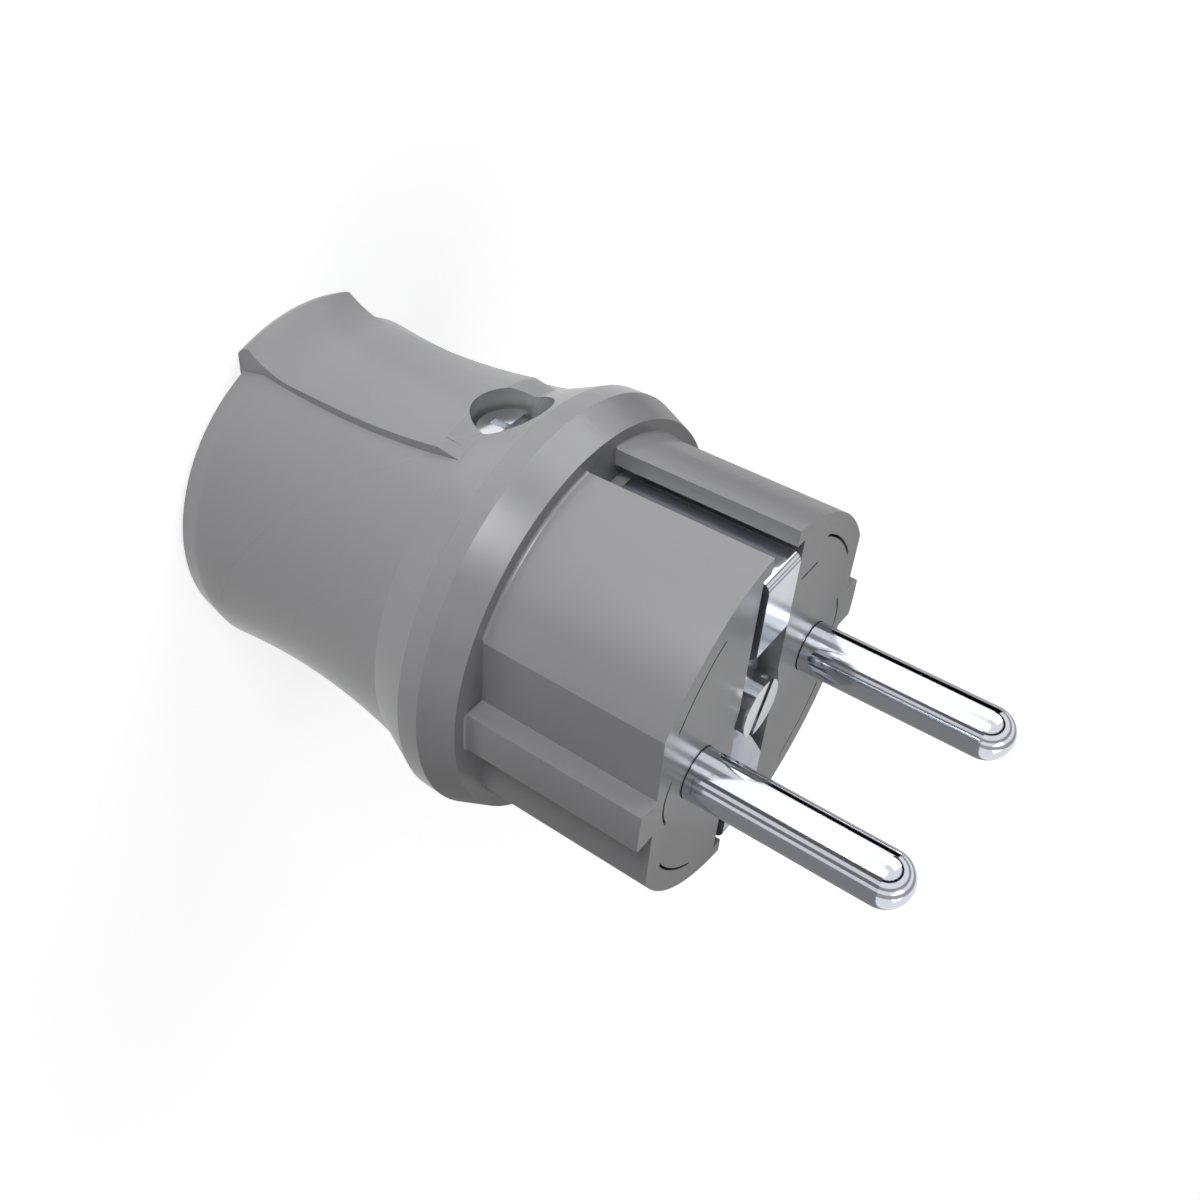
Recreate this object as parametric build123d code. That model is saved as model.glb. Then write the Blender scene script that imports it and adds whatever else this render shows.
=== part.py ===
from build123d import *
from math import radians, tan
import os

# Driving dimensions in millimetres. The plug stands on its rear end with the pins up:
# X runs from pin to pin, Y through both earth contacts, Z along the pins.
# A depth is measured back from the front face, so level() turns it into a height.

# Pins
pin_radius = 2.4
pin_spacing = 19.0
pin_length = 19.0
pin_neck = 0.2
pin_shoulder = 0.1
pin_collar_radius = 3.9
pin_collar_thickness = 1.5
pin_collar_depth = 5.0
pin_barrel_radius = 3.1
pin_barrel_length = 9.5
pin_ring_thickness = 1.0
wire_hole_radius = 1.6
wire_hole_length = 7.0

# Outer body
body_length = 53.5
body_radius = 18.0
flange_depth = 17.4
flange_width = 5.2
flange_step = 1.4
flange_rise = 1.26
flange_round = 3.1
flange_camber = 0.45
flange_draft = 0.06
flange_fillet = 1.2
bulge_width = 4.45
bulge_camber = 0.4
waist_drop = 0.9
waist_height = 11.0
shoulder_rise = 1.45
tail_rise = 0.5
tail_height = 3.3
rim_chamfer = 0.55
rim_height = 0.5
rear_edge = 0.5

flange_front_radius = body_radius + flange_step
flange_radius = flange_front_radius + flange_rise
flange_round_depth = flange_depth + flange_round
seam_depth = flange_depth + flange_width
seam_radius = flange_radius - flange_draft
waist_radius = body_radius - waist_drop
bulge_end_radius = waist_radius + shoulder_rise
bulge_end_depth = seam_depth + bulge_width
tail_radius = waist_radius + tail_rise
rim_radius = tail_radius - rim_chamfer

# Fits
slip = 0.05
play = 0.1

# Side flats and their guide ribs
flat_inset = 2.28
flat_offset = body_radius - flat_inset
rib_width = 4.2

# Earth bracket
bracket_width = 5.0
bracket_thickness = 0.8
bracket_proud = 0.3
bracket_inset = 2.5
bracket_leg_face = body_radius - bracket_inset
bracket_leg_length = 16.0
bracket_bend = 0.9
bracket_step_out = 7.8
bracket_dip = 1.9

# Earth contact grooves
groove_neck = 4.1
groove_width = 6.5
groove_gap = 0.8
groove_shelf = bracket_leg_face + groove_gap
groove_wall = 1.05
channel_depth = bracket_dip - bracket_proud + bracket_thickness
land_width = 4.4

# Wall of the front housing, and the seat for the carrier behind it
housing_wall = 2.01
flat_wall = 2.02
pocket_radius = body_radius - housing_wall
pocket_half_width = flat_offset - flat_wall
pocket_half_height = bracket_leg_face - bracket_thickness - groove_wall
seam_gap = 0.25
key_left = 4.2
key_right = 7.0
key_depth = 2.05
seat_height = 3.4
seat_wall = 2.0
seat_depth = seam_depth - seat_height
seat_radius = seam_radius - seat_wall

# Carrier that holds the contacts
plate_thickness = 8.0
carrier_wall = 1.5
pin_bulge_wall = 1.17
pocket_bulge_radius = pin_collar_radius + pin_bulge_wall
carrier_rim_gap = 0.2
carrier_rim_radius = seat_radius - carrier_rim_gap
carrier_rim_thickness = 1.6
carrier_rim_lap = 1.65
carrier_rim_opening = pocket_half_height - carrier_rim_lap
partition_offset = 4.3
partition_thickness = 1.2

# Rear hood
lip_radius = seat_radius - play
hood_wall = 1.9
cavity_radius = waist_radius - hood_wall
rear_wall = 3.0

# Finger pad on the hood: a ramp up to the crease, a hollow for the finger and a raised lip
pad_width = 13.6
pad_ramp_length = 2.3
pad_ramp_rise = 0.35
pad_rise = 0.7
pad_valley_height = 7.0
pad_valley_length = 5.5
pad_lip_rise = 1.7
pad_lip_height = 1.45
pad_edge = 0.9
pad_edge_radius = 2.0

pad_crease_radius = bulge_end_radius + pad_ramp_rise
pad_crease_depth = bulge_end_depth + pad_ramp_length
pad_valley_radius = waist_radius + pad_rise
pad_lip_radius = pad_valley_radius + pad_lip_rise

# Screws and nuts
screw_radius = 1.5
screw_head_radius = 2.7
screw_head_height = 1.8
screw_end_gap = 0.4
slot_width = 0.9
slot_depth = 0.9
nut_width = 5.5
nut_thickness = 2.4
centre_head_radius = 2.8
centre_head_height = 2.1
centre_head_room = 0.9

# Hood screw in its recess, which runs out into the seam
hood_screw_setback = 4.2
hood_screw_radius = 2.0
hood_screw_length = 8.0
hood_head_radius = 3.1
hood_head_height = 2.2
hood_head_room = 0.45
hood_head_drop = 1.3
hood_seat_thickness = 1.1
relief_drop = 0.35
relief_radius = 5.3
relief_setback = 1.0

hood_screw_depth = seam_depth + hood_screw_setback
relief_floor = bulge_end_radius - relief_drop
hood_head_seat = relief_floor - hood_head_drop - hood_head_height
hood_boss_height = hood_head_seat - hood_seat_thickness

# Earth terminal
terminal_gap = 0.7
terminal_half_width = partition_offset - partition_thickness / 2 - terminal_gap
terminal_low = 3.0
terminal_high = 9.5
terminal_thickness = 3.5
terminal_screw_offset = 6.2
washer_width = 6.0
washer_thickness = 0.8

# Cable entry
entry_radius = 6.5
grommet_wall = 2.3
grommet_lap = 1.5
grommet_flange_thickness = 1.3
grommet_bore_radius = entry_radius - grommet_wall

# Cord clamp on the carrier's tongue
tongue_thickness = 2.5
tongue_top = 5.0
tongue_height = 9.5
clamp_setback = 6.0
clamp_side_room = 7.45
clamp_length = 6.0
clamp_thickness = 2.4
clamp_boss_height = 2.4
tongue_end_depth = body_length - tongue_height
clamp_depth = tongue_end_depth - clamp_setback
clamp_screw_offset = cavity_radius - clamp_side_room

sides = {"left": -1, "right": 1}


def level(depth):
    return body_length - depth


def cylinder(radius, from_depth, to_depth, x=0.0, y=0.0):
    disc = Pos(x, y, level(to_depth)) * Circle(radius)
    return extrude(disc, to_depth - from_depth)


def block(width, low_y, high_y, from_depth, to_depth, x=0.0):
    centre = Pos(x, (low_y + high_y) / 2, level((from_depth + to_depth) / 2))
    return centre * Box(width, high_y - low_y, to_depth - from_depth)


def radial_cylinder(radius, low_y, high_y, depth, x=0.0):
    disc = Plane((x, low_y, level(depth)), x_dir=(1, 0, 0), z_dir=(0, 1, 0)) * Circle(radius)
    return extrude(disc, high_y - low_y)


def turned(edges):
    return revolve(make_face(Plane.XZ * edges), Axis.Z)


# Outline shared by the housing's pocket and the carrier that fills it
def carrier_outline(gap=0.0):
    outline = Circle(pocket_radius - gap) & Rectangle(2 * pocket_half_width, 2 * pocket_half_height)
    for side in sides.values():
        outline += Pos(side * pin_spacing / 2, 0) * Circle(pocket_bulge_radius - gap)
    return outline - key_slot(gap)


def key_slot(margin):
    bottom = pocket_half_height - key_depth - margin
    centre = Pos((key_left + key_right) / 2, (bottom + body_radius) / 2)
    return centre * Rectangle(key_right - key_left, body_radius - bottom)


# Outline of the space behind the carrier's plate, one wall inside its outer outline
def chamber_outline():
    half_width = pocket_half_width - carrier_wall
    half_height = pocket_half_height - carrier_wall
    chamber = Circle(pocket_radius - carrier_wall) & Rectangle(2 * half_width, 2 * half_height)
    for side in sides.values():
        chamber += Pos(side * pin_spacing / 2, 0) * Circle(pocket_bulge_radius - carrier_wall)
    bottom = half_height - key_depth
    centre = Pos((key_left + key_right) / 2, (bottom + body_radius) / 2)
    return chamber - centre * Rectangle(key_right - key_left + 2 * carrier_wall, body_radius - bottom)


def earth_channel():
    half_height = groove_shelf
    return block(groove_width, -half_height, half_height, 0, channel_depth)


# Land that carries the bracket's front plates; gutters stay open beside it
def bracket_land():
    back = bracket_thickness - bracket_proud
    low = bracket_step_out + bracket_thickness
    high = bracket_leg_face - bracket_thickness
    upper = block(land_width, low, high, back, channel_depth)
    lower = block(land_width, -high, -low, back, channel_depth)
    return upper + lower


def front_housing():
    start = (body_radius, level(flange_depth - flange_fillet))
    foot = (body_radius + flange_fillet, level(flange_depth))
    edges = Polyline((0, level(seam_depth)), (0, body_length), (body_radius, body_length), start)
    edges += RadiusArc(start, foot, -flange_fillet)
    edges += Line(foot, (flange_front_radius, level(flange_depth)))
    edges += SagittaArc((flange_front_radius, level(flange_depth)), (flange_radius, level(flange_round_depth)),
                        flange_camber)
    edges += Polyline((flange_radius, level(flange_round_depth)), (seam_radius, level(seam_depth)),
                      (0, level(seam_depth)))
    housing = turned(edges)
    housing -= extrude(Pos(0, 0, level(seat_depth)) * carrier_outline(), seat_depth)
    housing -= cylinder(seat_radius, seat_depth, seam_depth)
    flat_width = 2 * (seam_radius - flat_offset)
    for side in sides.values():
        for half in sides.values():
            near, far = half * rib_width / 2, half * body_radius
            housing -= block(flat_width, min(near, far), max(near, far), 0, flange_depth, x=side * seam_radius)
    for half in sides.values():
        floor = half * (bracket_leg_face - bracket_thickness)
        shelf = half * groove_shelf
        top = half * (body_radius + flange_fillet)
        housing -= block(groove_width, min(floor, shelf), max(floor, shelf), 0, flange_depth)
        housing -= block(groove_neck, min(shelf, top), max(shelf, top), 0, flange_depth)
    return housing - (earth_channel() - bracket_land())


# Clamp tongue and hood-screw post stand on the carrier's rear rim
def carrier_rear():
    rim_back = seat_depth + carrier_rim_thickness
    tongue_width = 2 * clamp_screw_offset + clamp_length
    tongue = block(tongue_width, -tongue_top - tongue_thickness, -tongue_top, rim_back, tongue_end_depth)
    root = block(tongue_width, -pocket_half_height, -tongue_top, seat_depth, rim_back)
    rear = tongue + root
    for side in sides.values():
        x = side * clamp_screw_offset
        rear += radial_cylinder(clamp_length / 2, -tongue_top, -tongue_top + clamp_boss_height, clamp_depth, x)
    for side in sides.values():
        x = side * clamp_screw_offset
        rear -= radial_cylinder(screw_radius + slip, -pocket_radius, 0, clamp_depth, x)
    post_half = nut_width / 2 + carrier_wall
    post_floor = hood_head_seat - hood_screw_length
    post = block(2 * post_half, post_floor, hood_boss_height, rim_back, hood_screw_depth + post_half)
    post += block(2 * post_half, post_floor, pocket_half_height, seat_depth, rim_back)
    post -= radial_cylinder(hood_screw_radius + slip, 0, body_radius, hood_screw_depth)
    nut_half = nut_width / 2 + slip
    post -= block(2 * nut_half, nut_base(), nut_base() + nut_thickness + 2 * slip,
                  hood_screw_depth - nut_half, body_length)
    return rear + post


def nut_base():
    return hood_boss_height - carrier_wall - nut_thickness - 2 * slip


def contact_carrier():
    outer = extrude(Pos(0, 0, level(seat_depth)) * carrier_outline(seam_gap), seat_depth)
    carrier = outer - extrude(Pos(0, 0, level(seat_depth)) * chamber_outline(), seat_depth - plate_thickness)
    for side in sides.values():
        carrier += outer & block(partition_thickness, -pocket_half_height, pocket_half_height,
                                 plate_thickness, seat_depth, x=side * partition_offset)
    rim = cylinder(carrier_rim_radius, seat_depth, seat_depth + carrier_rim_thickness)
    carrier += rim - cylinder(carrier_rim_opening, seat_depth, seat_depth + carrier_rim_thickness)
    carrier += carrier_rear()
    for side in sides.values():
        x = side * pin_spacing / 2
        carrier -= cylinder(pin_radius + slip, 0, plate_thickness, x)
        carrier -= cylinder(pin_collar_radius + slip, pin_collar_depth, plate_thickness, x)
        carrier -= radial_cylinder(screw_head_radius, 0, body_radius, pin_screw_depth(), x)
    carrier -= cylinder(screw_radius + slip, 0, plate_thickness)
    carrier -= cylinder(centre_head_radius + centre_head_room, 0, channel_depth)
    return carrier - (earth_channel() - bracket_land())


def pin_screw_depth():
    barrel_end = pin_collar_depth + pin_collar_thickness + pin_barrel_length
    return barrel_end - wire_hole_length / 2


# Pin with a domed tip, a neck and collar in the carrier and a drilled terminal barrel behind
def pin(side):
    x = side * pin_spacing / 2
    collar_back = pin_collar_depth + pin_collar_thickness
    barrel_back = collar_back + pin_barrel_length
    shaft = cylinder(pin_radius, -pin_length + pin_radius, -pin_shoulder, x)
    shaft += cylinder(pin_radius - pin_neck, -pin_shoulder, pin_collar_depth, x)
    tip = Pos(x, 0, level(-pin_length + pin_radius)) * Sphere(pin_radius)
    collar = cylinder(pin_collar_radius, pin_collar_depth, collar_back, x)
    barrel = cylinder(pin_barrel_radius, collar_back, barrel_back, x)
    body = shaft + tip + collar + barrel
    body -= cylinder(wire_hole_radius, barrel_back - wire_hole_length, barrel_back, x)
    return body - radial_cylinder(screw_radius + slip, 0, pin_barrel_radius, pin_screw_depth(), x)


def pin_ring(side):
    x = side * pin_spacing / 2
    front = pin_collar_depth + pin_collar_thickness
    back = front + pin_ring_thickness
    return cylinder(pin_collar_radius, front, back, x) - cylinder(pin_barrel_radius + slip, front, back, x)


# Slotted cheese-head screw along +Z at the origin: its head stands on the plane Z = 0
def slotted_screw(radius, length, head_radius, head_height):
    shank = Pos(0, 0, -length) * extrude(Circle(radius), length)
    head = extrude(Circle(head_radius), head_height)
    slot = Pos(0, 0, head_height) * Box(2 * head_radius, slot_width, 2 * slot_depth)
    return shank + head - slot


def pin_screw(side):
    x = side * pin_spacing / 2
    seat = Plane((x, pin_barrel_radius, level(pin_screw_depth())), x_dir=(0, 0, 1), z_dir=(0, 1, 0))
    length = pin_barrel_radius
    return seat * slotted_screw(screw_radius, length, screw_head_radius - play, screw_head_height)


# Folded strip: two legs in the grooves, two front plates and a dipped middle
def earth_bracket():
    t = bracket_thickness
    front = body_length + bracket_proud
    dip = front - bracket_dip
    miter = t * tan(radians(22.5))
    step_in = bracket_step_out - bracket_dip
    leg_end = front - bracket_leg_length
    face = [(bracket_leg_face, leg_end), (bracket_leg_face, front), (bracket_step_out, front), (step_in, dip)]
    back = [(step_in + miter, dip - t), (bracket_step_out + miter, front - t),
            (bracket_leg_face - t, front - t), (bracket_leg_face - t, leg_end)]
    half = face + [(0, dip), (0, dip - t)] + back
    section = make_face(Plane.YZ * Polyline(*half, close=True))
    strip = extrude(section, bracket_width / 2, both=True)
    corners = strip.edges().filter_by(Axis.X).sort_by(lambda edge: edge.center().Y + edge.center().Z)
    strip = fillet(corners[-1], bracket_bend)
    strip += mirror(strip, about=Plane.XZ)
    return strip - cylinder(screw_radius + slip, -1, plate_thickness)


def centre_screw():
    seat = Pos(0, 0, body_length + bracket_proud - bracket_dip) * Rot(0, 0, 65)
    length = plate_thickness + terminal_thickness - (bracket_dip - bracket_proud) - screw_end_gap
    return seat * slotted_screw(screw_radius, length, centre_head_radius, centre_head_height)


def earth_terminal():
    back = plate_thickness + terminal_thickness
    terminal = block(2 * terminal_half_width, -terminal_low, terminal_high, plate_thickness, back)
    terminal -= cylinder(screw_radius + slip, plate_thickness, back)
    return terminal - cylinder(screw_radius + slip, plate_thickness, back, y=terminal_screw_offset)


def earth_washer():
    front = plate_thickness + terminal_thickness
    back = front + washer_thickness
    low = terminal_screw_offset - washer_width / 2
    washer = block(washer_width, low, low + washer_width, front, back)
    return washer - cylinder(screw_radius + slip, front, back, y=terminal_screw_offset)


def earth_terminal_screw():
    seat_z = level(plate_thickness + terminal_thickness + washer_thickness)
    seat = Pos(0, terminal_screw_offset, seat_z) * Rot(180, 0, 0)
    length = terminal_thickness + washer_thickness
    return seat * slotted_screw(screw_radius, length, screw_head_radius, screw_head_height)


# Outside of the hood: a bulge behind the seam, a long hollow waist and a short tail
def hood_shell():
    seam = (seam_radius, level(seam_depth))
    bulge_end = (bulge_end_radius, level(bulge_end_depth))
    tail = (tail_radius, tail_height)
    edges = SagittaArc(seam, bulge_end, bulge_camber)
    edges += ThreePointArc(bulge_end, (waist_radius, waist_height), tail)
    edges += Polyline(tail, (rim_radius, rim_height), (rim_radius - rear_edge, 0), (0, 0), (0, seam[1]), seam)
    return turned(edges)


def finger_pad():
    ramp_start = (bulge_end_radius, level(bulge_end_depth))
    crease = (pad_crease_radius, level(pad_crease_depth))
    valley_front = (pad_valley_radius, pad_valley_height + pad_valley_length)
    valley_rear = (pad_valley_radius, pad_valley_height)
    lip = (pad_lip_radius, pad_lip_height)
    rear = (pad_lip_radius - pad_edge, 0)
    edges = Polyline(rear, (0, 0), (0, ramp_start[1]), ramp_start, crease)
    edges += TangentArc(valley_front, crease, tangent=(0, 1))
    edges += Line(valley_front, valley_rear)
    edges += TangentArc(valley_rear, lip, tangent=(0, -1))
    edges += RadiusArc(lip, rear, pad_edge_radius)
    return turned(edges) & block(pad_width, 0, pad_lip_radius, 0, body_length)


# Recess of the hood screw, and the wider relief that opens it towards the seam
def screw_recess():
    top = pad_lip_radius
    recess = radial_cylinder(hood_head_radius + hood_head_room, hood_head_seat, top, hood_screw_depth)
    return recess + radial_cylinder(relief_radius, relief_floor, top + flange_step, seam_depth + relief_setback)


def rear_hood():
    lip_front = seat_depth + carrier_rim_thickness
    hood = hood_shell() + cylinder(lip_radius, lip_front, seam_depth) + finger_pad()
    hood -= cylinder(cavity_radius, lip_front, body_length - rear_wall)
    boss_half = nut_width / 2 + carrier_wall
    hood += block(2 * boss_half, hood_boss_height, cavity_radius + play, seam_depth,
                  hood_screw_depth + boss_half)
    hood -= screw_recess()
    hood -= radial_cylinder(hood_screw_radius + slip, hood_boss_height, hood_head_seat, hood_screw_depth)
    return hood - cylinder(entry_radius, body_length - rear_wall, body_length)


def hood_screw():
    seat = Plane((0, hood_head_seat, level(hood_screw_depth)), x_dir=(1, 0, 0), z_dir=(0, 1, 0))
    screw = slotted_screw(hood_screw_radius, hood_screw_length, hood_head_radius, hood_head_height)
    screw -= Pos(0, 0, hood_head_height) * Box(slot_width, 1.3 * hood_head_radius, 2 * slot_depth)
    return seat * screw


def hood_screw_nut():
    low = nut_base() + slip
    nut = block(nut_width, low, low + nut_thickness, hood_screw_depth - nut_width / 2,
                hood_screw_depth + nut_width / 2)
    return nut - radial_cylinder(hood_screw_radius + slip, 0, body_radius, hood_screw_depth)


# Saddle bar, arched over the cord, seated on the tongue's two bosses
def cord_clamp():
    low = -tongue_top + clamp_boss_height
    width = 2 * clamp_screw_offset + clamp_length
    front, back = clamp_depth - clamp_length / 2, clamp_depth + clamp_length / 2
    bar = block(width, low, low + clamp_thickness, front, back)
    bar += cylinder(grommet_bore_radius + clamp_thickness / 2, front, back, y=low) \
        & block(width, low, body_radius, front, back)
    bar -= cylinder(grommet_bore_radius - clamp_thickness / 2, front, back, y=low)
    for side in sides.values():
        x = side * clamp_screw_offset
        bar -= radial_cylinder(screw_radius + slip, low, body_radius, clamp_depth, x)
    return bar


def clamp_screw(side):
    x = side * clamp_screw_offset
    seat_y = -tongue_top + clamp_boss_height + clamp_thickness
    length = clamp_thickness + clamp_boss_height + tongue_thickness + nut_thickness
    seat = Plane((x, seat_y, level(clamp_depth)), x_dir=(1, 0, 0), z_dir=(0, 1, 0))
    return seat * slotted_screw(screw_radius, length, screw_head_radius, screw_head_height)


def clamp_nut(side):
    x = side * clamp_screw_offset
    high = -tongue_top - tongue_thickness
    nut = Plane((x, high - nut_thickness, level(clamp_depth)), x_dir=(1, 0, 0), z_dir=(0, 1, 0)) \
        * extrude(RegularPolygon(nut_width / 2, 6, major_radius=False), nut_thickness)
    return nut - radial_cylinder(screw_radius + slip, high - nut_thickness, high, clamp_depth, x)


def entry_grommet():
    inside = body_length - rear_wall
    grommet = cylinder(entry_radius - slip, inside, body_length)
    grommet += cylinder(entry_radius + grommet_lap, inside - grommet_flange_thickness, inside)
    return grommet - cylinder(grommet_bore_radius, inside - grommet_flange_thickness, body_length)


parts = {
    "front_housing": front_housing(),
    "contact_carrier": contact_carrier(),
    "rear_hood": rear_hood(),
    "earth_bracket": earth_bracket(),
    "centre_screw": centre_screw(),
    "earth_terminal": earth_terminal(),
    "earth_clamp_washer": earth_washer(),
    "earth_terminal_screw": earth_terminal_screw(),
    "hood_screw": hood_screw(),
    "hood_screw_nut": hood_screw_nut(),
    "cord_clamp": cord_clamp(),
    "entry_grommet": entry_grommet(),
}
for name, side in sides.items():
    parts[f"pin_{name}"] = pin(side)
    parts[f"pin_ring_{name}"] = pin_ring(side)
    parts[f"pin_screw_{name}"] = pin_screw(side)
    parts[f"clamp_screw_{name}"] = clamp_screw(side)
    parts[f"clamp_nut_{name}"] = clamp_nut(side)

os.makedirs("parts", exist_ok=True)
for name, shape in parts.items():
    export_step(shape, f"parts/{name}.step")
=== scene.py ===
import math
import bpy
import bmesh
from mathutils import Matrix, Vector


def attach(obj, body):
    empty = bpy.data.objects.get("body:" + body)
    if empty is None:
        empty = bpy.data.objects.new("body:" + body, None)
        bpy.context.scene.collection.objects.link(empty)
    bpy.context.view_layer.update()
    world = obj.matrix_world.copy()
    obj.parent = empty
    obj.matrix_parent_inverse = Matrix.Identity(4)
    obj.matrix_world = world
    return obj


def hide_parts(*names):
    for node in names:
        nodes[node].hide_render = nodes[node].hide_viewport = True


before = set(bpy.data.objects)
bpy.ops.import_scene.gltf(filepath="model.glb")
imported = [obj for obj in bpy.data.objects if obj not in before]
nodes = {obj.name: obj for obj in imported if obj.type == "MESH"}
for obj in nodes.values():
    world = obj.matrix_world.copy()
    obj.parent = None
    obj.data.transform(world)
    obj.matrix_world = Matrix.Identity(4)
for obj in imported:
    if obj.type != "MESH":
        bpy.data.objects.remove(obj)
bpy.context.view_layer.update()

mm = 0.001


def linear(hexColor):
    # sRGB hex to Blender's linear RGBA
    parts = [int(hexColor[i:i + 2], 16) / 255 for i in (1, 3, 5)]
    return tuple(c / 12.92 if c <= 0.04045 else ((c + 0.055) / 1.055) ** 2.4 for c in parts) + (1.0,)


def addNode(owner, kind, links=(), **settings):
    # settings whose name is a socket go to that socket, the others to the node itself
    tree = owner.node_tree
    node = tree.nodes.new(kind)
    for name, value in settings.items():
        socket = name.replace("_", " ")
        if socket in node.inputs:
            node.inputs[socket].default_value = value
        else:
            setattr(node, name, value)
    for source, target in links:
        tree.links.new(source, node.inputs[target])
    return node


def newMaterial(name):
    mat = bpy.data.materials.new(name)
    mat.use_nodes = True
    mat.node_tree.nodes.clear()
    return mat


def finishMaterial(mat, shader):
    addNode(mat, "ShaderNodeOutputMaterial", [(shader.outputs[0], "Surface")])
    return mat


def objectPlace(mat):
    return addNode(mat, "ShaderNodeTexCoord").outputs["Object"]


def noise(mat, place, size, detail):
    # size is that of one blotch, in mm
    return addNode(mat, "ShaderNodeTexNoise", [(place, "Vector")],
                   Scale=1 / (size * mm), Detail=detail).outputs["Fac"]


def glossFrom(mat, pattern, low, high):
    # nearly all of a noise lies between 0.3 and 0.7
    return addNode(mat, "ShaderNodeMapRange", [(pattern, "Value")],
                   From_Min=0.3, From_Max=0.7, To_Min=low, To_Max=high).outputs[0]


def bumpFrom(mat, pattern, strength, depth):
    return addNode(mat, "ShaderNodeBump", [(pattern, "Height")],
                   Strength=strength, Distance=depth * mm).outputs[0]


def dress(mat, *names):
    for name in names:
        if not nodes[name].material_slots:
            nodes[name].data.materials.append(mat)
        for slot in nodes[name].material_slots:
            slot.material = mat


# Injection-moulded PBT in light grey: a spark-eroded mould leaves a satin skin with a soft, broad gloss,
# and the flow of the melt leaves faint clouds of lighter and darker grey. Sizes and depths are in mm
greyPbt = {
    "color": "#868688", "cloudColor": "#838385", "cloudSize": 22.0, "cloudDetail": 0.0,
    "grainSize": 0.16, "grainDetail": 3.0, "grainStrength": 0.5, "grainDepth": 0.0016,
    "roughnessLow": 0.27, "roughnessHigh": 0.31, "ior": 1.52,
}
darkPolyamide = dict(greyPbt, color="#4d4e50", cloudColor="#474849", roughnessLow=0.42, roughnessHigh=0.5)
blackRubber = dict(greyPbt, color="#232325", cloudColor="#1e1e20", roughnessLow=0.62, roughnessHigh=0.75)


def mouldedPlastic(name, look):
    mat = newMaterial(name)
    place = objectPlace(mat)
    clouds = noise(mat, place, look["cloudSize"], look["cloudDetail"])
    grain = noise(mat, place, look["grainSize"], look["grainDetail"])
    tint = addNode(mat, "ShaderNodeMix", [(clouds, "Factor")], data_type="RGBA")
    tint.inputs[6].default_value = linear(look["color"])
    tint.inputs[7].default_value = linear(look["cloudColor"])
    gloss = glossFrom(mat, clouds, look["roughnessLow"], look["roughnessHigh"])
    bump = bumpFrom(mat, grain, look["grainStrength"], look["grainDepth"])
    shader = addNode(mat, "ShaderNodeBsdfPrincipled",
                     [(tint.outputs[2], "Base Color"), (gloss, "Roughness"), (bump, "Normal")], IOR=look["ior"])
    return finishMaterial(mat, shader)


def metalShader(mat, look, pattern, bump):
    gloss = glossFrom(mat, pattern, look["roughness"], look["roughness"] + look["spread"])
    return addNode(mat, "ShaderNodeBsdfPrincipled", [(gloss, "Roughness"), (bump, "Normal")],
                   Base_Color=linear(look["color"]), Metallic=1.0)


# Brass turned on an automatic lathe and nickel plated: bright and slightly cool, with faint turning rings
nickelPlate = {
    "color": "#d3d7df", "roughness": 0.07, "spread": 0.05, "smearSize": 5.0, "smearDetail": 3.0,
    "ringSpacing": 0.12, "ringWaver": 0.6, "ringDetail": 1.0, "ringStrength": 0.3, "ringDepth": 0.0004,
}


def turnedPlate(name, look):
    mat = newMaterial(name)
    place = objectPlace(mat)
    # a full turn of the wave is one ring of the lathe tool
    rings = addNode(mat, "ShaderNodeTexWave", [(place, "Vector")], wave_type="BANDS", bands_direction="Z",
                    Scale=math.pi / (10 * look["ringSpacing"] * mm), Distortion=look["ringWaver"],
                    Detail=look["ringDetail"])
    smears = noise(mat, place, look["smearSize"], look["smearDetail"])
    bump = bumpFrom(mat, rings.outputs["Fac"], look["ringStrength"], look["ringDepth"])
    return finishMaterial(mat, metalShader(mat, look, smears, bump))


# Metals of the strip, the screws and the terminal: rolled or headed, so their skin is cloudy instead of ringed
cloudySkin = {"skinDetail": 4.0, "skinStrength": 0.4}
stripSteel = dict(cloudySkin, color="#cfd3da", roughness=0.14, spread=0.06, skinSize=1.4, skinDepth=0.0004)
zincScrew = dict(cloudySkin, color="#e0e2e6", roughness=0.12, spread=0.06, skinSize=1.2, skinDepth=0.0003)
turnedBrass = dict(cloudySkin, color="#d8b56a", roughness=0.24, spread=0.1, skinSize=0.4, skinDepth=0.0008)


def platedMetal(name, look):
    mat = newMaterial(name)
    skin = noise(mat, objectPlace(mat), look["skinSize"], look["skinDetail"])
    bump = bumpFrom(mat, skin, look["skinStrength"], look["skinDepth"])
    return finishMaterial(mat, metalShader(mat, look, skin, bump))


greySkin = mouldedPlastic("grey_pbt", greyPbt)
dress(greySkin, "front_housing", "contact_carrier", "rear_hood")
dress(turnedPlate("nickel_plated_brass", nickelPlate), "pin_left", "pin_right")
dress(platedMetal("nickel_plated_strip", stripSteel), "earth_bracket")
dress(platedMetal("zinc_plated_steel", zincScrew), "centre_screw", "hood_screw", "hood_screw_nut",
      "pin_ring_left", "pin_ring_right", "pin_screw_left", "pin_screw_right", "earth_clamp_washer",
      "earth_terminal_screw", "clamp_screw_left", "clamp_screw_right", "clamp_nut_left", "clamp_nut_right")
dress(platedMetal("turned_brass", turnedBrass), "earth_terminal")
dress(mouldedPlastic("dark_polyamide", darkPolyamide), "cord_clamp")
dress(mouldedPlastic("black_rubber", blackRubber), "entry_grommet")
print("materials done")

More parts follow.
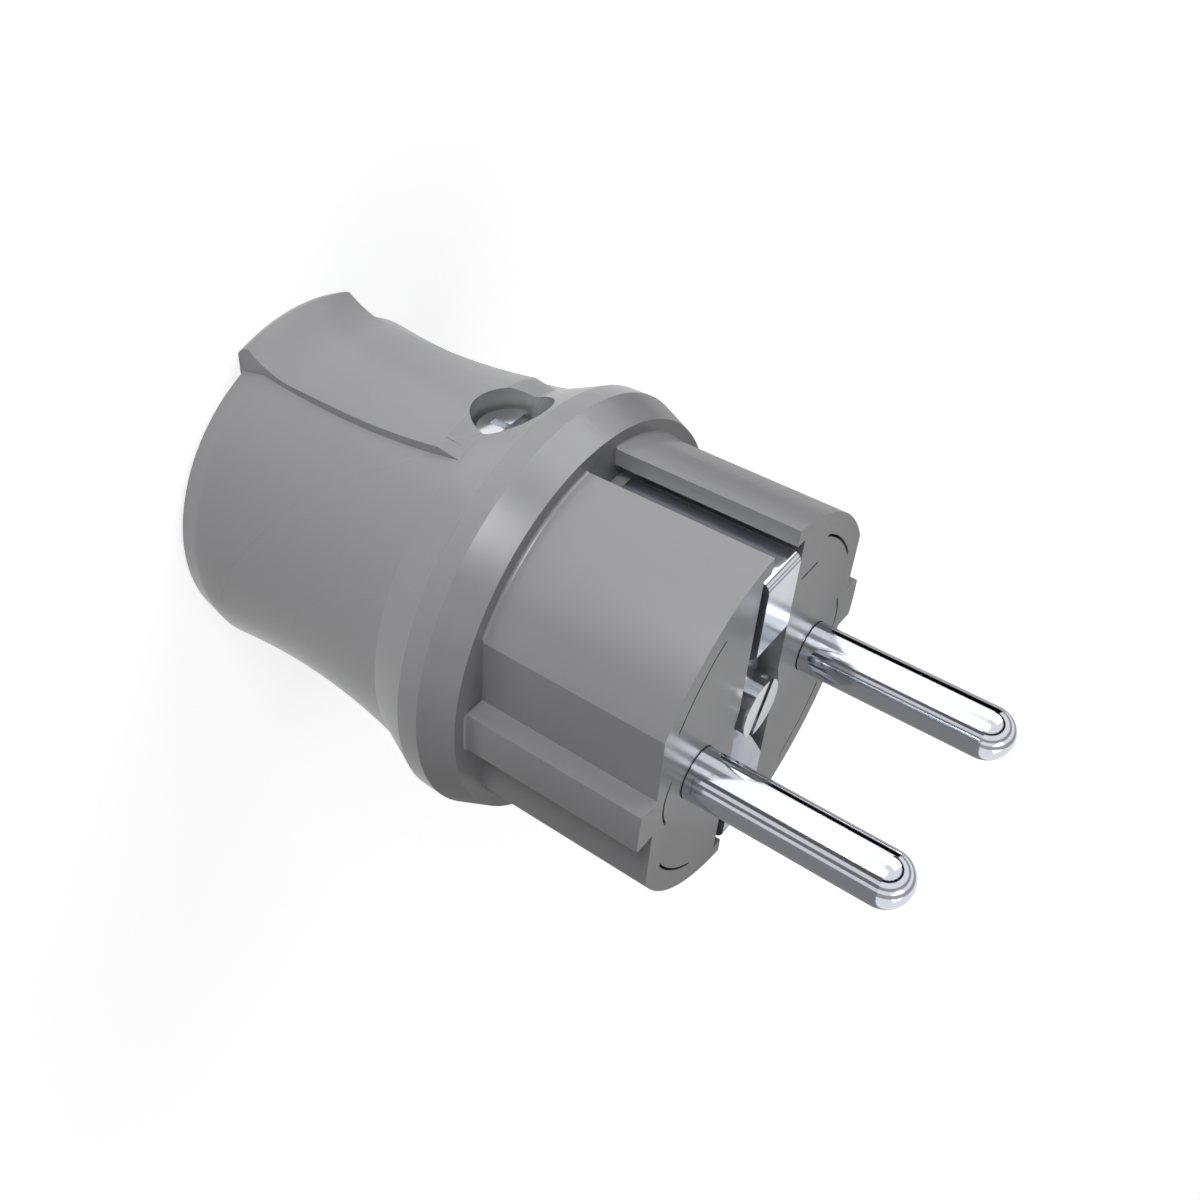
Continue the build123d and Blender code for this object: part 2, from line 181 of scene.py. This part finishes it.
# The two moulded shells as the picture shows them, from welded copies of their solids: the flange is two straight
# bands with a crisp edge between them, the body meets it in a tight corner, and the screw's hole has a whole rim.
# Points are (radius, height), all in mm and degrees
shellForm = {
    "corner": (18.0, 36.1), "fillet": 1.2, "tightFillet": 0.3, "filletMatch": 0.03, "endMatch": 0.01,
    "bands": {"frontBand": ((19.4, 36.1), (20.66, 33.0)), "bulge": ((20.6, 30.9), (18.55, 26.45))},
    "bandMatch": 0.7, "uprightHalf": 16,
    "weld": 0.002, "crispAngle": 18,
}
# the piece of the bulge that closes the hollow round the screw, and the hole that is cut through it
bulgePatch = {
    "outline": ((17.0, 30.9), (20.6, 30.9), (18.55, 26.45), (18.95, 24.15), (17.0, 24.15)),
    "turn": 35, "steps": 14,
}
screwHole = {"height": 26.7, "low": 15.0, "high": 22.0, "lowRadius": 3.57, "highRadius": 3.65, "segments": 96}


def meshObject(name, bm):
    mesh = bpy.data.meshes.new(name)
    bm.to_mesh(mesh)
    bm.free()
    obj = bpy.data.objects.new(name, mesh)
    bpy.context.collection.objects.link(obj)
    return obj


def welded(mesh):
    bm = bmesh.new()
    bm.from_mesh(mesh)
    bmesh.ops.remove_doubles(bm, verts=bm.verts, dist=shellForm["weld"] * mm)
    return bm


def setRadius(vert, radius):
    # along Y where the screw's hole or a groove is cut, so that their walls stay upright
    x, y = vert.co.x / mm, vert.co.y / mm
    if abs(x) < shellForm["uprightHalf"]:
        vert.co.y = math.copysign(math.sqrt(radius * radius - x * x), y) * mm
    else:
        vert.co.x = math.copysign(math.sqrt(radius * radius - y * y), x) * mm


def straightenBands(bm):
    for (topRadius, top), (footRadius, foot) in shellForm["bands"].values():
        for vert in bm.verts:
            height = vert.co.z / mm
            radius = vert.co.xy.length / mm
            straight = footRadius + (topRadius - footRadius) * (height - foot) / (top - foot)
            if foot < height < top and 0 < radius - straight < shellForm["bandMatch"]:
                setRadius(vert, straight)


def tightenCorner(bm):
    cornerRadius, cornerHeight = shellForm["corner"]
    fillet = shellForm["fillet"]
    share = shellForm["tightFillet"] / fillet
    reach = fillet + shellForm["endMatch"]
    for vert in bm.verts:
        out, up = vert.co.xy.length / mm - cornerRadius, vert.co.z / mm - cornerHeight
        offFillet = abs(math.hypot(out - fillet, up - fillet) - fillet)
        if offFillet < shellForm["filletMatch"] and out < reach and up < reach:
            vert.co.z = (cornerHeight + up * share) * mm
            setRadius(vert, cornerRadius + out * share)


def combined(piece, tool, how):
    # joins or cuts the piece with the tool, which is then thrown away
    cut = piece.modifiers.new(how, "BOOLEAN")
    cut.operation, cut.solver, cut.object = how, "EXACT", tool
    mesh = bpy.data.meshes.new_from_object(piece.evaluated_get(bpy.context.evaluated_depsgraph_get()))
    piece.modifiers.clear()
    piece.data = mesh
    bpy.data.objects.remove(tool)


def bulgePatchTool():
    turn = math.radians(bulgePatch["turn"])
    bm = bmesh.new()
    verts = [bm.verts.new((0, radius * mm, height * mm)) for radius, height in bulgePatch["outline"]]
    face = bm.faces.new(verts)
    bmesh.ops.rotate(bm, verts=verts, cent=(0, 0, 0), matrix=Matrix.Rotation(-turn / 2, 3, "Z"))
    bmesh.ops.spin(bm, geom=[face, *face.edges, *face.verts], cent=(0, 0, 0), axis=(0, 0, 1),
                   angle=turn, steps=bulgePatch["steps"])
    bmesh.ops.recalc_face_normals(bm, faces=bm.faces)
    return meshObject("bulgePatch", bm)


def screwHoleTool():
    low, high = screwHole["low"], screwHole["high"]
    bm = bmesh.new()
    bmesh.ops.create_cone(bm, cap_ends=True, segments=screwHole["segments"], radius1=screwHole["highRadius"] * mm,
                          radius2=screwHole["lowRadius"] * mm, depth=(high - low) * mm)
    bmesh.ops.rotate(bm, verts=bm.verts, cent=(0, 0, 0), matrix=Matrix.Rotation(math.radians(90), 3, "X"))
    bmesh.ops.translate(bm, verts=bm.verts, vec=Vector((0, (high + low) / 2, screwHole["height"])) * mm)
    return meshObject("screwHole", bm)


def finishShell(piece, name):
    bm = welded(piece.data)
    for face in bm.faces:
        face.smooth = True
    for edge in bm.edges:
        closed = len(edge.link_faces) == 2
        edge.smooth = closed and edge.calc_face_angle(0) < math.radians(shellForm["crispAngle"])
    bm.to_mesh(piece.data)
    bm.free()
    piece.modifiers.new("evenShading", "WEIGHTED_NORMAL").keep_sharp = True
    piece.data.materials.clear()
    piece.data.materials.append(greySkin)
    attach(piece, "root")
    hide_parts(name)


def addShells():
    housing = welded(nodes["front_housing"].data)
    straightenBands(housing)
    tightenCorner(housing)
    finishShell(meshObject("flanged_housing", housing), "front_housing")
    hood = welded(nodes["rear_hood"].data)
    straightenBands(hood)
    shell = meshObject("waisted_hood", hood)
    combined(shell, bulgePatchTool(), "UNION")
    combined(shell, screwHoleTool(), "DIFFERENCE")
    finishShell(shell, "rear_hood")


addShells()
print("shells done")

# The camera looks down on the pad side, with the pad side up in the picture
view = {
    "place": (-76.453, 83.512, 84.424), "towards": (0.58210, -0.66738, -0.46450), "up": (0, 1, 0), "roll": 0.2,
    "lens": 40.228, "sensor": 36.0, "shiftX": 0.0991, "shiftY": -0.0048, "clipStart": 0.005, "clipEnd": 20.0,
}


def addCamera():
    cam = bpy.data.cameras.new("camera")
    cam.lens = view["lens"]
    cam.sensor_width = view["sensor"]
    cam.shift_x, cam.shift_y = view["shiftX"], view["shiftY"]
    cam.clip_start, cam.clip_end = view["clipStart"], view["clipEnd"]
    back = -Vector(view["towards"]).normalized()
    right = Vector(view["up"]).cross(back).normalized()
    turn = Matrix((right, back.cross(right), back)).transposed().to_4x4()
    roll = Matrix.Rotation(math.radians(view["roll"]), 4, "Z")
    obj = bpy.data.objects.new("camera", cam)
    obj.matrix_world = Matrix.Translation(Vector(view["place"]) * mm) @ turn @ roll
    bpy.context.collection.objects.link(obj)
    bpy.context.scene.camera = obj


addCamera()

# Softboxes stand round the plug and point at its middle, a low one on the side that the picture shows as above
plugMiddle = (0, 0, 36)
lamps = {
    "padSide": {"place": (-224, 447, 68), "size": (200, 136), "power": 1.6},
    "farSide": {"place": (202, 383, 126), "size": (300, 300), "power": 0.8},
    "faceSide": {"place": (-136, -136, 443), "size": (300, 300), "power": 0.4},
}


def addLamp(name, look):
    lamp = bpy.data.lights.new(name, "AREA")
    lamp.shape = "RECTANGLE"
    lamp.size, lamp.size_y = (side * mm for side in look["size"])
    lamp.energy = look["power"]
    obj = bpy.data.objects.new(name, lamp)
    place = Vector(look["place"]) * mm
    aim = Vector(plugMiddle) * mm - place
    obj.matrix_world = Matrix.Translation(place) @ aim.to_track_quat("-Z", "Y").to_matrix().to_4x4()
    bpy.context.collection.objects.link(obj)


for name, look in lamps.items():
    addLamp(name, look)

# Cards that only gloss and metal show: a fan of light that opens from the plug's foot and rises away from it,
# a low ring of lighter and darker cards round the plug, in degrees from +X, and half hoops in front of the pins,
# in degrees from +Y, that draw the lines round their tips. Each card is (start, end, strength)
sheenFan = {"corners": ((-6, 22, 1), (6, 22, 1), (120, 175, 46), (-110, 175, 46)), "strength": 1.55}
ringCards = {
    "radius": 85, "foot": 0.5, "head": 78,
    "cards": {"blackCard": (8, 34, 0.0), "leftDark": (139, 153, 0.12), "leftLight": (153, 166, 0.85),
              "leftMiddle": (166, 178, 0.2), "leftPale": (178, 190, 0.85), "lowCard": (190, 300, 0.26),
              "rightCard": (300, 368, 0.5)},
}
hoops = {
    "centre": (0, 0, 60), "radius": 250,
    "cards": {"blackHoop": (49, 58, 0.0), "middleHoop": (77, 88, 0.36), "lowHoop": (102, 118, 0.4)},
}
degreesPerStep = 6


def addCard(name, bm, strength):
    card = meshObject(name, bm)
    mat = newMaterial(name + "_light")
    glow = addNode(mat, "ShaderNodeEmission", Color=linear("#ffffff"), Strength=strength)
    card.data.materials.append(finishMaterial(mat, glow))
    card.visible_camera = card.visible_diffuse = card.visible_shadow = False


def sweptCard(start, end, centre, axis, degrees):
    bm = bmesh.new()
    edge = bm.edges.new([bm.verts.new(Vector(corner) * mm) for corner in (start, end)])
    bmesh.ops.spin(bm, geom=[edge, *edge.verts], cent=Vector(centre) * mm, axis=axis,
                   angle=math.radians(degrees), steps=max(2, round(degrees / degreesPerStep)))
    return bm


def addSheenFan():
    bm = bmesh.new()
    bm.faces.new([bm.verts.new(Vector(corner) * mm) for corner in sheenFan["corners"]])
    addCard("sheenFan", bm, sheenFan["strength"])


def addRing():
    radius = ringCards["radius"]
    for name, (start, end, strength) in ringCards["cards"].items():
        turn = math.radians(start)
        foot = (radius * math.cos(turn), radius * math.sin(turn), ringCards["foot"])
        head = (foot[0], foot[1], ringCards["head"])
        addCard(name, sweptCard(foot, head, (0, 0, 0), (0, 0, 1), end - start), strength)


def addHoops():
    centre, radius = Vector(hoops["centre"]), hoops["radius"]
    for name, (start, end, strength) in hoops["cards"].items():
        near, far = (centre + Vector((math.sin(turn), math.cos(turn), 0)) * radius
                     for turn in (math.radians(start), math.radians(end)))
        addCard(name, sweptCard(near, far, centre, (0, -1, 0), 180), strength)


addSheenFan()
addRing()
addHoops()

# The room lights the plug weakly and shows as white. The floor keeps the plug's shadow, and its glow for the
# camera grows with the distance from the plug, in metres
room = {
    "light": "#ffffff", "fill": 0.16, "white": 1.0, "floorSize": 6.0, "floorColor": "#f2f2f2",
    "glowNear": 0.62, "glowFar": 1.0, "glowFrom": 0.06, "glowTo": 0.5,
}


def largerOf(owner, first, second):
    return addNode(owner, "ShaderNodeMath", [(first, 0), (second, 1)], operation="MAXIMUM").outputs[0]


def backgroundRays(owner):
    # 1 for the rays that show the background: from the camera, off gloss and through glass
    path = addNode(owner, "ShaderNodeLightPath").outputs
    seen = largerOf(owner, path["Is Camera Ray"], path["Is Glossy Ray"])
    return largerOf(owner, seen, path["Is Transmission Ray"])


def addRoom():
    world = bpy.data.worlds.new("room")
    bpy.context.scene.world = world
    world.use_nodes = True
    world.node_tree.nodes.clear()
    light = linear(room["light"])
    fill = addNode(world, "ShaderNodeBackground", Color=light, Strength=room["fill"])
    white = addNode(world, "ShaderNodeBackground", Color=light, Strength=room["white"])
    both = addNode(world, "ShaderNodeMixShader",
                   [(backgroundRays(world), 0), (fill.outputs[0], 1), (white.outputs[0], 2)])
    addNode(world, "ShaderNodeOutputWorld", [(both.outputs[0], "Surface")])


def addFloor():
    bm = bmesh.new()
    bmesh.ops.create_grid(bm, x_segments=1, y_segments=1, size=room["floorSize"] / 2)
    floor = meshObject("floor", bm)
    mat = newMaterial("pale_floor")
    away = addNode(mat, "ShaderNodeVectorMath", [(objectPlace(mat), 0)], operation="LENGTH")
    glowByPlace = addNode(mat, "ShaderNodeMapRange", [(away.outputs["Value"], "Value")],
                          From_Min=room["glowFrom"], From_Max=room["glowTo"],
                          To_Min=room["glowNear"], To_Max=room["glowFar"])
    seenGlow = addNode(mat, "ShaderNodeMath", [(backgroundRays(mat), 0), (glowByPlace.outputs[0], 1)],
                       operation="MULTIPLY")
    paint = addNode(mat, "ShaderNodeBsdfDiffuse", Color=linear(room["floorColor"]))
    glow = addNode(mat, "ShaderNodeEmission", [(seenGlow.outputs[0], "Strength")], Color=linear("#ffffff"))
    both = addNode(mat, "ShaderNodeAddShader", [(paint.outputs[0], 0), (glow.outputs[0], 1)])
    floor.data.materials.append(finishMaterial(mat, both))


addRoom()
addFloor()
bpy.context.scene.view_settings.view_transform = "Standard"
print("stage done")
